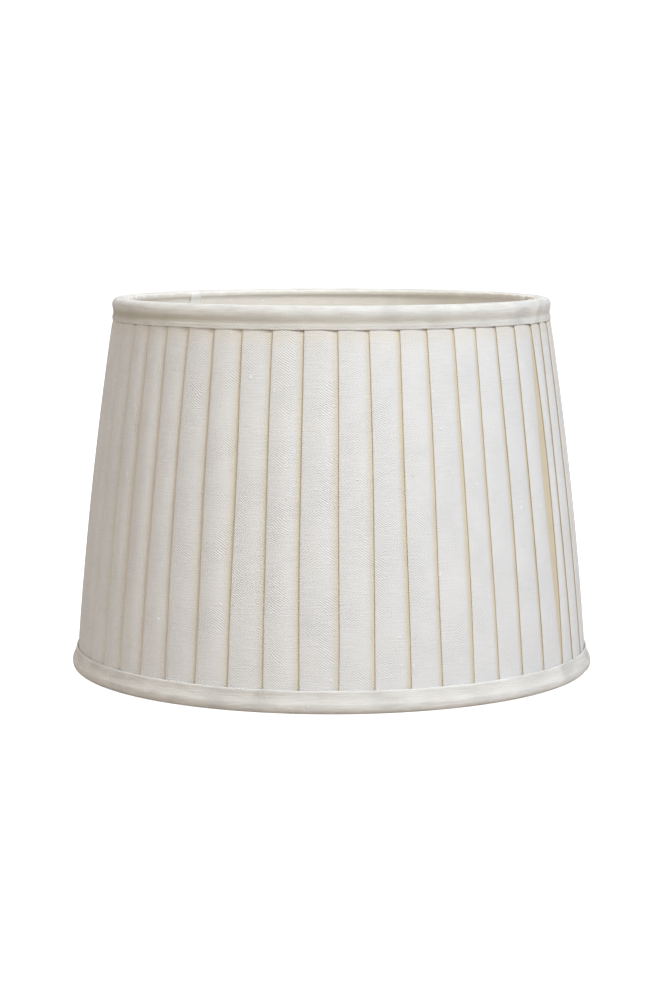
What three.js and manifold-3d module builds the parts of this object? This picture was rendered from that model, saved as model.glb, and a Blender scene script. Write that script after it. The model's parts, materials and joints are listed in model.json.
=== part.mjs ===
// A pleated, soft-lined lampshade: two wire rings held apart by six struts, wound with tape, lined on the
// inside, covered with knife pleats on the outside, and bound with a bias strip round each rim.
// Millimetres, +Z up. The shade stands on its bottom rim, and the origin is the centre of that rim's plane.
// Angles round the shade are in degrees, measured from the front (-Y) towards +X.
import * as THREE from "three";
import { mergeVertices } from "three/addons/utils/BufferGeometryUtils.js";
import Module from "manifold-3d";

const wasm = await Module();
wasm.setup();

// ---- driving dimensions ----
const HEIGHT = 212; // from the plane of the bottom rim to the plane of the top rim
const TOP_DIAMETER = 250; // over the top binding, beside the ring
const BOTTOM_DIAMETER = 300; // over the bottom binding, beside the ring
const CLEARANCE = 0.25; // left between two pieces that touch

const RING_WIRE = 3; // diameter of the two rings' wire
const STRUT_WIRE = 2.5;
const STRUTS = 6;
const FIRST_STRUT = -134.9; // angle of the first strut
const TAPE = 0.35; // thickness of the tape wound round the wires
const TAPE_SLIT = 30; // half the angle that the ring tape leaves open on the side of the struts

const PLEATS = 48;
const PLEAT_STACK = 1.2; // the three layers of a pleat, pressed flat where they are sewn to a ring
const PLEAT_PUFF = 1.75; // how far the pleats stand out from the straight line halfway up
const PLEAT_STEP = 0.35; // from a pleat's face down to the next one, where they are sewn
const PLEAT_OPENING = 0.9; // what halfway up adds to that step
const PLEAT_SHADOW_GAP = 0.5; // angle that the step takes up
const COVER_LEVELS = 6; // rows of facets from ring to ring

const LINING = 0.4; // thickness of the lining cloth
const SEWN_MARGIN = 1.2; // how far the cover and the lining run past the middle of each ring

const BINDING_HEIGHT = 12.5; // of the outer leg
const BINDING_INSIDE_HEIGHT = 3.2; // of the leg that turns in over the lining
const BINDING_EDGE = 0.6; // thickness at the outer leg's edge, and over the ring
const BINDING_INSIDE_EDGE = 0.5; // thickness of the inner leg
const TOP_BINDING_ROLL = 1.4; // thickness beside the top ring, with the turned-in edges
const BOTTOM_BINDING_ROLL = 2.5; // the same at the bottom, which also holds the turned-back cover
const BINDING_BULGE_HEIGHT = 4.6; // where the outer leg is fullest, from the rim's plane
const BINDING_ROUNDING = 2.7; // how far the rim's rounded outer corner reaches in over its flat

const FITTER_HOLE = 42; // takes the threaded neck of an E27 lampholder
const FITTER_DIAMETER = 60;
const FITTER_THICKNESS = 2;
const FITTER_DROP = 20; // from the plane of the top rim to the top of the fitter ring
const ARMS = 3; // each one meets every second strut
const ARM_WIRE = 3;
const ARM_SLIT = 0.75; // room round an arm where it goes through cloth

const STRIP_WIDTH = 8; // of a neatening piece
const STRIP_THICKNESS = 0.5;
const STRIP_BELOW_ARM = 6; // how far a neatening piece runs below the arm's middle
const SEAM_STRUT = 6; // the strut that the lining's seam lies on, which is wound with tape
const SEAM_TAPE_SLIT = 30; // half the angle that its tape leaves open

const WIRE_SIDES = 8;
const STRAIGHT_WIRE_SIDES = 12;
const HOLE_SIDES = 16;
const AROUND = PLEATS; // facets round the shade, one for each pleat

// ---- materials ----
const material = (color, roughness, metalness = 0) =>
  new THREE.MeshStandardMaterial({ color, roughness, metalness });
const pleatCloth = () => material(0xe9e5dc, 0.9);
const bindingCloth = () => material(0xece7d9, 0.9);
const liningCloth = () => material(0xefebe0, 0.8);
const tapeCloth = () => material(0xf1efe6, 0.95);
const coatedWire = () => material(0xf3f3f0, 0.45);

// ---- the lines that every piece is placed from ----
const radians = THREE.MathUtils.degToRad;
const tapedRadius = RING_WIRE / 2 + CLEARANCE + TAPE;

// A rim's ring sits inside its binding: `inward` is +1 from the bottom rim up, -1 from the top rim down.
function rim(diameter, roll, plane, inward) {
  const ringRadius = diameter / 2 - roll - 2 * CLEARANCE - PLEAT_STACK - tapedRadius;
  const ringHeight = plane + inward * (BINDING_EDGE + CLEARANCE + tapedRadius);
  return { plane, inward, roll, ringRadius, ringHeight };
}
const topRim = rim(TOP_DIAMETER, TOP_BINDING_ROLL, HEIGHT, -1);
const bottomRim = rim(BOTTOM_DIAMETER, BOTTOM_BINDING_ROLL, 0, 1);

const frameRise = topRim.ringHeight - bottomRim.ringHeight;
const frameSlope = (topRim.ringRadius - bottomRim.ringRadius) / frameRise;
const shareUp = (z) => (z - bottomRim.ringHeight) / frameRise;
const arch = (z) => Math.max(0, 4 * shareUp(z) * (1 - shareUp(z))); // 0 at the rings, 1 halfway

const frameRadius = (z) => bottomRim.ringRadius + frameSlope * (z - bottomRim.ringHeight);
const coverInside = (z) => frameRadius(z) + tapedRadius + CLEARANCE;
const coverOutside = (z) => coverInside(z) + PLEAT_STACK + PLEAT_PUFF * arch(z);
const liningOutside = (z) => frameRadius(z) - tapedRadius - CLEARANCE;
const liningInside = (z) => liningOutside(z) - LINING;

const strutAngle = (number) => FIRST_STRUT + ((number - 1) * 360) / STRUTS;
const armAngle = (number) => strutAngle(1 + ((number - 1) * STRUTS) / ARMS);
const armHeight = HEIGHT - FITTER_DROP - FITTER_THICKNESS / 2;

// ---- geometry helpers ----
// Turns a closed outline of [radius, height] points about the shade's axis.
function turned(outline, segments = AROUND) {
  const loop = outline.map(([radius, height]) => new THREE.Vector2(radius, height));
  if (THREE.ShapeUtils.area(loop) < 0) loop.reverse();
  loop.push(loop[0].clone());
  return new THREE.LatheGeometry(loop, segments).rotateX(Math.PI / 2);
}

// Points of an arc round [x, y], its angles in degrees.
function arc(x, y, radius, from, to, steps) {
  return Array.from({ length: steps + 1 }, (_, i) => {
    const angle = radians(from + ((to - from) * i) / steps);
    return [x + radius * Math.cos(angle), y + radius * Math.sin(angle)];
  });
}

// The outline of a tape wound round a wire, left open by `slit` degrees on both sides of `open`.
function tapeOutline(x, y, wire, open, slit) {
  const inner = wire / 2 + CLEARANCE;
  const ends = [open + slit, open + 360 - slit];
  return [
    ...arc(x, y, inner + TAPE, ...ends, WIRE_SIDES),
    ...arc(x, y, inner, ...ends, WIRE_SIDES).reverse(),
  ];
}

function solid(geometry) {
  const bare = geometry.clone();
  bare.deleteAttribute("normal");
  bare.deleteAttribute("uv");
  const merged = mergeVertices(bare, 1e-3);
  return new wasm.Manifold(
    new wasm.Mesh({
      numProp: 3,
      vertProperties: merged.attributes.position.array,
      triVerts: new Uint32Array(merged.index.array),
    }),
  );
}

// Cuts each tool out of a geometry.
function pierced(geometry, tools) {
  const left = tools.reduce((body, tool) => body.subtract(solid(tool)), solid(geometry));
  const { numProp, vertProperties, triVerts } = left.getMesh();
  const positions = new THREE.InterleavedBuffer(vertProperties, numProp);
  const cut = new THREE.BufferGeometry().setIndex(new THREE.BufferAttribute(triVerts, 1));
  cut.setAttribute("position", new THREE.InterleavedBufferAttribute(positions, 3, 0));
  return cut.toNonIndexed();
}

// A round bar between two [radius, height] points of the plane at `angle`.
function bar(angle, from, to, radius, sides) {
  const start = new THREE.Vector3(0, -from[0], from[1]);
  const end = new THREE.Vector3(0, -to[0], to[1]);
  const along = end.clone().sub(start);
  const turn = new THREE.Quaternion().setFromUnitVectors(
    new THREE.Vector3(0, 1, 0),
    along.clone().normalize(),
  );
  return new THREE.CylinderGeometry(radius, radius, along.length(), sides)
    .applyQuaternion(turn)
    .translate(...start.add(end).multiplyScalar(0.5).toArray())
    .rotateZ(radians(angle));
}

function node(name, geometry, surface) {
  const mesh = new THREE.Mesh(geometry, surface);
  mesh.name = name;
  return mesh;
}

// ---- frame ----
const wireRing = ({ ringRadius, ringHeight }) =>
  turned(arc(ringRadius, ringHeight, RING_WIRE / 2, 0, 360, WIRE_SIDES).slice(0, -1));

// A strut's axis runs from ring to ring and stops `short` of the middle of each.
function strutEnds(short) {
  const shortRise = short / Math.hypot(1, frameSlope);
  return [bottomRim.ringHeight + shortRise, topRim.ringHeight - shortRise].map((z) => [
    frameRadius(z),
    z,
  ]);
}
const strutBar = (number, radius, short) =>
  bar(strutAngle(number), ...strutEnds(short), radius, STRAIGHT_WIRE_SIDES);

function fitterRing() {
  const top = HEIGHT - FITTER_DROP;
  const bottom = top - FITTER_THICKNESS;
  return turned([
    [FITTER_HOLE / 2, bottom],
    [FITTER_DIAMETER / 2, bottom],
    [FITTER_DIAMETER / 2, top],
    [FITTER_HOLE / 2, top],
  ]);
}

// An arm lies level from the edge of the fitter ring to the inner side of its strut.
function armBar(number, radius, sides) {
  const lean = Math.abs(frameSlope) * (ARM_WIRE / 2);
  const strutFace = frameRadius(armHeight) - (STRUT_WIRE / 2) * Math.hypot(1, frameSlope);
  return bar(
    armAngle(number),
    [FITTER_DIAMETER / 2 + CLEARANCE, armHeight],
    [strutFace - lean - CLEARANCE, armHeight],
    radius,
    sides,
  );
}
const numbers = (count) => Array.from({ length: count }, (_, i) => i + 1);
const armSlits = () => numbers(ARMS).map((n) => armBar(n, ARM_WIRE / 2 + ARM_SLIT, HOLE_SIDES));

// ---- tape ----
// The tape round a ring opens towards the struts, and is parted where each strut meets the ring.
function ringTape({ ringRadius, ringHeight, inward }) {
  const round = turned(tapeOutline(ringRadius, ringHeight, RING_WIRE, inward * 90, TAPE_SLIT));
  const partings = numbers(STRUTS).map((n) => strutBar(n, STRUT_WIRE / 2 + CLEARANCE, 0));
  return pierced(round, partings);
}

function seamStrutTape() {
  const outline = tapeOutline(0, 0, STRUT_WIRE, -90, SEAM_TAPE_SLIT);
  const section = new THREE.Shape(outline.map(([x, y]) => new THREE.Vector2(x, y)));
  const [low, high] = strutEnds(tapedRadius + CLEARANCE);
  const rise = high[1] - low[1];
  const depth = rise * Math.hypot(1, frameSlope);
  return new THREE.ExtrudeGeometry(section, { depth, steps: 1, bevelEnabled: false })
    .rotateX(Math.atan(frameSlope))
    .translate(0, -low[0], low[1])
    .rotateZ(radians(strutAngle(SEAM_STRUT)));
}

// ---- cloth ----
// The cover: each pleat's face leans back from its raised left-hand edge to the foot of the next pleat.
function pleatedCover() {
  const pitch = 360 / PLEATS;
  const low = bottomRim.ringHeight - SEWN_MARGIN;
  const high = topRim.ringHeight + SEWN_MARGIN;
  const heights = numbers(COVER_LEVELS + 1).map((n) => low + ((high - low) * (n - 1)) / COVER_LEVELS);
  const column = (angle, radius, z) => [
    radius * Math.sin(radians(angle)),
    -radius * Math.cos(radians(angle)),
    z,
  ];
  const step = (z) => PLEAT_STEP + PLEAT_OPENING * arch(z);
  const row = (z, raised, foot) =>
    numbers(PLEATS).flatMap((n) => [
      column((n - 1) * pitch, raised, z),
      column(n * pitch - PLEAT_SHADOW_GAP, foot, z),
    ]);
  const outer = heights.map((z) => row(z, coverOutside(z), coverOutside(z) - step(z)));
  const inner = [high, low].map((z) => row(z, coverInside(z), coverInside(z)));
  const rows = [...outer, ...inner];
  const corners = [];
  rows.forEach((here, r) => {
    const above = rows[(r + 1) % rows.length];
    here.forEach((corner, i) => {
      const j = (i + 1) % here.length;
      corners.push(...corner, ...here[j], ...above[j], ...corner, ...above[j], ...above[i]);
    });
  });
  return new THREE.BufferGeometry().setAttribute(
    "position",
    new THREE.Float32BufferAttribute(corners, 3),
  );
}

// The lining is a plain cone, slit where the arms come through.
function lining() {
  const low = bottomRim.ringHeight - SEWN_MARGIN;
  const high = topRim.ringHeight + SEWN_MARGIN;
  const cone = turned([
    [liningInside(low), low],
    [liningOutside(low), low],
    [liningOutside(high), high],
    [liningInside(high), high],
  ]);
  return pierced(cone, armSlits());
}

// A binding folds round its rim. Its outline runs down the outside from the leg's edge, across the flat
// that the rim stands on, up the inside, and back along the hollow that holds cover, ring and lining.
function binding({ plane, inward, roll, ringRadius }) {
  const at = (depth) => plane + inward * depth;
  const point = (radius, depth) => [radius, at(depth)];
  const besideCover = (depth) => coverOutside(at(depth)) + CLEARANCE;
  const besideLining = (depth) => liningInside(at(depth)) - CLEARANCE;
  const outside = ringRadius + tapedRadius + 2 * CLEARANCE + PLEAT_STACK + roll;
  const inside = besideLining(BINDING_INSIDE_HEIGHT) - BINDING_INSIDE_EDGE;
  const hollowInside = besideLining(BINDING_INSIDE_HEIGHT);
  const turn = BINDING_EDGE + CLEARANCE; // size of the rounded corners inside the fold
  const fullest = BINDING_BULGE_HEIGHT;
  const insideAtRim = besideLining(turn) - BINDING_INSIDE_EDGE;
  return turned([
    point(besideCover(BINDING_HEIGHT) + BINDING_EDGE, BINDING_HEIGHT),
    point(outside, fullest),
    point(outside - BINDING_EDGE / 4, fullest / 2),
    point(outside - BINDING_ROUNDING / 2, BINDING_EDGE),
    point(outside - BINDING_ROUNDING, 0),
    point(insideAtRim + 2 * turn, 0),
    point(insideAtRim + turn / 2, turn / 2),
    point(insideAtRim, 2 * turn),
    point(inside, BINDING_INSIDE_HEIGHT),
    point(hollowInside, BINDING_INSIDE_HEIGHT),
    point(besideLining(2 * turn), 2 * turn - CLEARANCE),
    point(besideLining(turn) + turn, BINDING_EDGE),
    point(besideCover(turn) - turn, BINDING_EDGE),
    point(besideCover(turn), 2 * turn - CLEARANCE),
    point(besideCover(BINDING_HEIGHT), BINDING_HEIGHT),
  ]);
}

// A neatening piece lies flat on the lining from the binding down past its arm, which goes through it.
function neateningPiece(number) {
  const high = HEIGHT - BINDING_INSIDE_HEIGHT - CLEARANCE;
  const low = armHeight - STRIP_BELOW_ARM;
  const length = (high - low) * Math.hypot(1, frameSlope);
  const half = STRIP_WIDTH / 2;
  const flatOn = (z) => {
    const facet = liningInside(z) * Math.cos(Math.PI / AROUND);
    return Math.sqrt(facet ** 2 - half ** 2) - CLEARANCE;
  };
  const section = new THREE.Shape([
    new THREE.Vector2(-half, 0),
    new THREE.Vector2(half, 0),
    new THREE.Vector2(half, STRIP_THICKNESS),
    new THREE.Vector2(-half, STRIP_THICKNESS),
  ]);
  const strip = new THREE.ExtrudeGeometry(section, { depth: length, steps: 1, bevelEnabled: false })
    .rotateX(Math.atan(frameSlope))
    .translate(0, -flatOn(low), low)
    .rotateZ(radians(armAngle(number)));
  return pierced(strip, [armBar(number, ARM_WIRE / 2 + ARM_SLIT, HOLE_SIDES)]);
}

// ---- the shade ----
const shade = new THREE.Group();

const frame = new THREE.Group();
frame.add(node("top_ring", wireRing(topRim), coatedWire()));
frame.add(node("bottom_ring", wireRing(bottomRim), coatedWire()));
for (const n of numbers(STRUTS)) {
  const strut = strutBar(n, STRUT_WIRE / 2, RING_WIRE / 2 + CLEARANCE);
  frame.add(node(`strut_${n}`, strut, coatedWire()));
}
frame.add(node("fitter_ring", fitterRing(), coatedWire()));
for (const n of numbers(ARMS)) {
  frame.add(node(`fitter_arm_${n}`, armBar(n, ARM_WIRE / 2, STRAIGHT_WIRE_SIDES), coatedWire()));
}

const wound = new THREE.Group();
wound.add(node("top_ring_tape", ringTape(topRim), tapeCloth()));
wound.add(node("bottom_ring_tape", ringTape(bottomRim), tapeCloth()));
wound.add(node("seam_strut_tape", seamStrutTape(), tapeCloth()));

const cloth = new THREE.Group();
cloth.add(node("lining", lining(), liningCloth()));
cloth.add(node("pleated_cover", pleatedCover(), pleatCloth()));
cloth.add(node("top_binding", binding(topRim), bindingCloth()));
cloth.add(node("bottom_binding", binding(bottomRim), bindingCloth()));
for (const n of numbers(ARMS)) {
  cloth.add(node(`neatening_piece_${n}`, neateningPiece(n), liningCloth()));
}

shade.add(frame, wound, cloth);
export default shade;
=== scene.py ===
"""The looks of a pleated, soft-lined lampshade, built piece by piece round its wire frame.

Every length is in metres. Angles round the shade are in degrees from the front (-Y) towards +X.
"""

import json
import math

import bmesh
import bpy
import numpy as np
from mathutils import Matrix, Vector

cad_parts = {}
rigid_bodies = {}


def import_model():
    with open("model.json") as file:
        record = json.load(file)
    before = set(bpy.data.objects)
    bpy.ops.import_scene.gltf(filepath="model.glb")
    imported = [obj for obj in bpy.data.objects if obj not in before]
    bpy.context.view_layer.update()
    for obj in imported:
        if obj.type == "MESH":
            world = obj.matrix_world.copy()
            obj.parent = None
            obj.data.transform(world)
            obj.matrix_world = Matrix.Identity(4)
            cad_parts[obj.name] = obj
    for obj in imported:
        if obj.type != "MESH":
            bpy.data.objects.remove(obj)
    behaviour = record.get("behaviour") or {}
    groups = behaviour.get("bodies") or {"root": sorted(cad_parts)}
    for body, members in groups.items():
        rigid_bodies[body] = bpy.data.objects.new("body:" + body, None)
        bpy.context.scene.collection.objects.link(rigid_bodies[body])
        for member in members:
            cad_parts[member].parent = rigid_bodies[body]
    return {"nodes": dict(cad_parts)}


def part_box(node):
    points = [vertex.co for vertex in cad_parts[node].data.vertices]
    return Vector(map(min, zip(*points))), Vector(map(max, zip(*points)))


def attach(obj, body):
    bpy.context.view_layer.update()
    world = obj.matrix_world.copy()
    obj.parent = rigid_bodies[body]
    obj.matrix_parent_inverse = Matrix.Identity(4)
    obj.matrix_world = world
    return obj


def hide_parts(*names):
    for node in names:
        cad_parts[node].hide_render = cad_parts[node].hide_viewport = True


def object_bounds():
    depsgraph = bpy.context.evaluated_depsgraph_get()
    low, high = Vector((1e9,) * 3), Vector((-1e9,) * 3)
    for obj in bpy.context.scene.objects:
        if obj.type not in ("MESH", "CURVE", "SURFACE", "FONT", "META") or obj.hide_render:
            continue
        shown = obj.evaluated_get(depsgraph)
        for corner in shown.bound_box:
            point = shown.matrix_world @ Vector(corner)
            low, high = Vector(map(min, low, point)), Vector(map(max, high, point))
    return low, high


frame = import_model()
CAD_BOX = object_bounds()

bl_info = {
    "name": "Pleated lampshade",
    "version": (1, 0, 0),
    "blender": (4, 5, 0),
    "location": "View3D > Sidebar > Lampshade",
    "description": "Builds the cloth, wire and fittings of a pleated, soft-lined lampshade",
    "category": "Object",
}

MM = 0.001
BODY = "root"
CLEARANCE = 0.25 * MM  # between pieces that touch

# ---- what the wire frame says ----


def ring_of(node):
    """(radius of the ring's middle line, its height, its wire's diameter) of a wire ring."""
    low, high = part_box(node)
    wire = high.z - low.z
    return high.x - wire / 2, (low.z + high.z) / 2, wire


TOP_RADIUS, TOP_RING_Z, WIRE = ring_of("top_ring")
BOTTOM_RADIUS, BOTTOM_RING_Z, _ = ring_of("bottom_ring")
HEIGHT = CAD_BOX[1].z
TAPED_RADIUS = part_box("top_ring_tape")[1].x - TOP_RADIUS
COVER_LOW, COVER_HIGH = (corner.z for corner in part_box("pleated_cover"))
COVER_EDGE_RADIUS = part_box("pleated_cover")[1].x
TOP_LIP_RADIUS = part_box("top_binding")[1].x
TOP_LIP_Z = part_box("top_binding")[0].z
BOTTOM_BULGE_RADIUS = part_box("bottom_binding")[1].x
BOTTOM_LIP_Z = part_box("bottom_binding")[1].z
FITTER_LOW, FITTER_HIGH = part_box("fitter_ring")
ARM_Z = (FITTER_LOW.z + FITTER_HIGH.z) / 2
ARM_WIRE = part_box("fitter_arm_1")[1].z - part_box("fitter_arm_1")[0].z
ARMS = sorted(name for name in frame["nodes"] if name.startswith("fitter_arm"))
STRUTS = sorted(name for name in frame["nodes"] if name.startswith("strut"))
STRIP_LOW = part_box("neatening_piece_1")[0].z
SLOPE = (TOP_RADIUS - BOTTOM_RADIUS) / (TOP_RING_Z - BOTTOM_RING_Z)
STRUT_WIRE = 2.5 * MM

# ---- how the cloth is made up ----

LAYER_GAP = 0.06 * MM  # between layers of cloth that lie on each other
RIM_GROOVE = 0.5 * MM  # width of the groove beside a fold, at the rims
TURN_ROOM = 1.0 * MM  # kept free for the turn under the next pleat
GAPING_ANGLE = 60.6  # where the one pleat stands open
INNER_LEG = 3.2 * MM  # how far a binding comes down inside its rim
TOP_NECK = (  # the top binding's face: (out from its fullest, down from the rim), in millimetres
    (0.05, 10.4), (-0.42, 9.5), (-0.62, 8.4), (-0.45, 7.0), (-0.10, 5.3), (0.0, 2.8),
)
BOTTOM_FACE = (  # and the bottom one's: (share of the way out to its fullest, out, down), the last two in millimetres
    (0.35, -0.35, 8.6), (0.7, -0.15, 6.8), (1, -0.12, 5.6), (1, 0.0, 4.3), (1, -0.25, 2.3),
)
LINING_EDGE = (  # the lining at a rim: (down from the rim, in from the struts), in millimetres
    (0.75, 0.55), (0.95, 0.85), (1.4, 1.12), (2.1, 1.22), (2.9, 1.22), (3.5, 1.1), (4.2, 0.6), (5.2, 0.1),
    (6.6, 0.0), (9.0, 0.0), (13.0, 0.0),
)
WRINKLES = (  # in the lining: (angle, width, degrees that it runs on for each millimetre of height, strength)
    (131.0, 1.6, 0.77, 1.0), (140.0, 1.2, -0.7, 1.0), (-146.0, 1.5, 0.5, 1.0), (122.0, 0.9, 0.0, 0.6),
)
THREAD = 0.4 * MM  # thickness of the sewing thread
STITCH_LENGTH = 2.4 * MM
STITCH_ENDS = (  # (down from the rim, in from the frame, both in millimetres, degrees aside)
    (0.55, 3.3, -0.25), (2.7, 3.8, 0.25),
)
STRIP_HALF = 4 * MM  # half the width of a neatening strip
STRIP_RIM = (  # a neatening strip at the rim: (down from the rim, in from the lining), in millimetres
    (0.85, 1.0), (1.3, 1.5), (2.1, 1.75), (3.4, 1.7), (4.6, 1.2), (6.5, 0.65), (12, 0.6),
)
LIGHTS = (  # name, size, watts, colour, place
    ("key", 1.0, 60, (0.92, 0.985, 1.03), (1.25, -1.5, 2.1)),
    ("fill", 1.0, 11.5, (1.0, 0.96, 0.78), (-1.2, -1.2, 1.5)),
    ("back", 1.2, 26, (1.0, 0.98, 0.95), (-0.4, 2.2, 1.6)),
)
FLOOR_GLOW, WORLD_GLOW = 1.0, 0.75  # how bright the floor and the world look to the camera alone


def angle_of(node):
    """The angle round the shade at which a node lies."""
    low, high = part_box(node)
    middle = (low + high) / 2
    return math.degrees(math.atan2(middle.x, -middle.y))


def share_up(z):
    """0 at the bottom ring, 1 at the top ring."""
    return (z - BOTTOM_RING_Z) / (TOP_RING_Z - BOTTOM_RING_Z)


def arch(z):
    """0 at both rings, 1 halfway between them."""
    t = share_up(z)
    return np.clip(4 * t * (1 - t), 0, 1)


def frame_radius(z):
    return BOTTOM_RADIUS + SLOPE * (z - BOTTOM_RING_Z)


def lining_radius(z):
    """Radius of the lining's outer side where it's stretched over the taped wires."""
    return frame_radius(z) - TAPED_RADIUS - CLEARANCE


def bump_at(values, middle, width):
    """A smooth bump of height 1 at a place."""
    return np.exp(-(((values - middle) / width) ** 2))


def place(angle, radius, z):
    """The point at an angle, a radius and a height, for arrays as well."""
    turn = np.radians(angle)
    return np.stack(np.broadcast_arrays(radius * np.sin(turn), -radius * np.cos(turn), z), axis=-1)


# ---- sizes and colours that a user may change ----


def a_length(name, description, default):
    return bpy.props.FloatProperty(name=name, description=description, default=default, unit="LENGTH")


def a_number(name, description, default):
    return bpy.props.FloatProperty(name=name, description=description, default=default)


def an_angle(name, description, default):
    return bpy.props.FloatProperty(
        name=name, description=description, default=default, subtype="ANGLE", unit="ROTATION"
    )


def a_count(name, description, default, least):
    return bpy.props.IntProperty(name=name, description=description, default=default, min=least)


def a_colour(name, description, default):
    return bpy.props.FloatVectorProperty(name=name, description=description, subtype="COLOR", size=3, default=default)


class ShadeCoverSettings(bpy.types.PropertyGroup):
    pleats: a_count("Pleats", "Knife pleats round the shade", 48, 8)
    first_fold: a_number("First fold", "Angle of the first fold from the front, in degrees", 0.85)
    drift: a_number("Drift", "How far the folds wander, in slow waves round the shade, in degrees", 0.75)
    unevenness: a_number("Unevenness", "How far a single fold strays from its place, in degrees", 0.22)
    puff: a_length("Puff", "How far the pleats stand out halfway up", 1.75 * MM)
    sewn_step: a_length("Step at the rims", "From one pleat's face down to the next, at the rims", 0.68 * MM)
    open_step: a_length("Step halfway", "The same halfway up, where the folds spring open", 0.82 * MM)
    gutter: a_length("Gutter", "Width of the groove beside a fold, halfway up", 1.0 * MM)
    gape: a_length("Gape", "Width of the one pleat that stands open, halfway up", 7.4 * MM)
    cloth_per_pleat: a_length("Cloth per pleat", "Length of the strip that one pleat takes up", 31.2 * MM)
    cloth: a_length("Cloth", "Thickness of the linen", 0.3 * MM)
    colour: a_colour("Cloth colour", "Colour of the pleats' faces", (0.80, 0.80, 0.795))
    # painted shade: the tan of the shadow and the light bouncing deep inside the folds
    painted_light_colour: a_colour("Fold colour", "Colour deep in the folds", (0.66, 0.57, 0.40))


class ShadeBindingSettings(bpy.types.PropertyGroup):
    cloth: a_length("Cloth", "Thickness of the bias strip", 0.3 * MM)
    turned_in: a_length("Turned-in edge", "Width of the raw edge folded under", 5 * MM)
    top_join: a_number("Top join", "Angle of the top binding's lap", 65)
    bottom_join: a_number("Bottom join", "Angle of the bottom binding's lap", 78)
    lap: a_number("Lap", "Overlap of the two ends, in degrees", 4)
    ripple: a_length("Ripple", "How far the strip swells and sinks along a rim", 0.3 * MM)
    colour: a_colour("Binding colour", "Colour of the bias strip", (0.885, 0.88, 0.85))
    # painted shade: used in the strip's hollow band and along its lap's ends
    binding_shade_colour: a_colour("Crease colour", "Colour in the strip's creases", (0.57, 0.54, 0.465))


class ShadeLiningSettings(bpy.types.PropertyGroup):
    cloth: a_length("Cloth", "Thickness of the lining", 0.3 * MM)
    stitches: a_count("Stitches", "Stitches that hold the lining to each rim", 54, 12)
    pucker: a_length("Pucker", "How far the edge rises between two stitches", 0.75 * MM)
    seam_offset: a_number("Seam offset", "From the taped strut to the lining's seam, in degrees", -5.5)
    strip_cloth: a_length("Neatening strip", "Thickness of the folded strip under an arm", 0.5 * MM)
    colour: a_colour("Lining colour", "Colour of the lining", (0.89, 0.855, 0.785))
    # painted highlight: the seam's ridge made lighter, as if catching the light
    seam_highlight_colour: a_colour("Seam colour", "Colour of the lining along its seam", (0.90, 0.88, 0.82))
    strip_colour: a_colour("Strip colour", "Colour of the neatening strips and the tape", (0.94, 0.925, 0.885))


class ShadeWireSettings(bpy.types.PropertyGroup):
    tape_width: a_length("Tape width", "Width of the cotton tape round the wires", 12 * MM)
    tape_advance: a_length("Tape advance", "How far one turn of the tape goes on", 8 * MM)
    fitter_hole: a_length("Fitter hole", "Diameter of the hole for the lampholder", 42 * MM)
    wire_colour: a_colour("Wire colour", "Colour of the coating on the wires", (0.84, 0.84, 0.82))


class ShadeStageSettings(bpy.types.PropertyGroup):
    camera_distance: a_length("Distance", "From the shade's axis to the camera", 1.3753)
    camera_height: a_length("Height", "Of the camera above the floor", 0.2681)
    camera_tilt: an_angle("Tilt", "Downwards", 0.126)
    lens: a_number("Lens", "Focal length in millimetres", 86.1)
    floor_colour: a_colour("Floor colour", "Colour of the floor", (0.52, 0.45, 0.385))


# ---- mesh helpers ----


def lattice(name, points, uv, loop_columns=False, loop_rows=False):
    """A mesh of quads over a grid of points[column][row], with its UV map in metres of cloth.

    The faces look along the cross product of the column step and the row step.
    """
    columns, rows = points.shape[:2]
    column_ends = columns if loop_columns else columns - 1
    row_ends = rows if loop_rows else rows - 1
    i, j = (grid.ravel() for grid in np.meshgrid(np.arange(column_ends), np.arange(row_ends), indexing="ij"))
    right, up = (i + 1) % columns, (j + 1) % rows
    corners = np.stack([i * rows + j, right * rows + j, right * rows + up, i * rows + up], axis=1)
    mesh = bpy.data.meshes.new(name)
    mesh.from_pydata(points.reshape(-1, 3).tolist(), [], corners.tolist())
    layer = mesh.uv_layers.new(name="cloth")
    layer.data.foreach_set("uv", uv.reshape(-1, 2)[corners.ravel()].astype(np.float32).ravel())
    obj = bpy.data.objects.new(name, mesh)
    bpy.context.scene.collection.objects.link(obj)
    return obj


def add_painted_light(obj, values):
    """Stores a value from 0 to 1 at each vertex for the material to read: painted shade deep in folds and creases, and
    on the lining a painted highlight along its seam.
    """
    attribute = obj.data.attributes.new("fold", "FLOAT", "POINT")
    attribute.data.foreach_set("value", np.asarray(values, np.float32).ravel())


def only(obj):
    """Selects this object alone and makes it active."""
    if bpy.context.object and bpy.context.object.mode != "OBJECT":
        bpy.ops.object.mode_set(mode="OBJECT")
    for other in bpy.context.view_layer.objects:
        other.select_set(other == obj)
    bpy.context.view_layer.objects.active = obj


def smooth(obj):
    obj.data.polygons.foreach_set("use_smooth", [True] * len(obj.data.polygons))


def sheet_round(name, points, uvs, values, thickness):
    """A sheet closed round the shade, with its painted light values and its thickness, inwards from its face."""
    obj = lattice(name, points, uvs, loop_columns=True)
    add_painted_light(obj, values)
    solidify = obj.modifiers.new("cloth", "SOLIDIFY")
    solidify.thickness = thickness
    solidify.offset = -1
    only(obj)
    bpy.ops.object.modifier_apply(modifier=solidify.name)
    smooth(obj)
    return obj


def swept(name, points, uvs):
    """An outline swept along a path, with its first and its last ring of points closed."""
    obj = lattice(name, points, uvs, loop_rows=True)
    columns, rows = points.shape[:2]
    mesh = bmesh.new()
    mesh.from_mesh(obj.data)
    mesh.verts.ensure_lookup_table()
    for first in (0, (columns - 1) * rows):
        mesh.faces.new(mesh.verts[first : first + rows])
    bmesh.ops.recalc_face_normals(mesh, faces=mesh.faces)
    mesh.to_mesh(obj.data)
    mesh.free()
    smooth(obj)
    return obj


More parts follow.
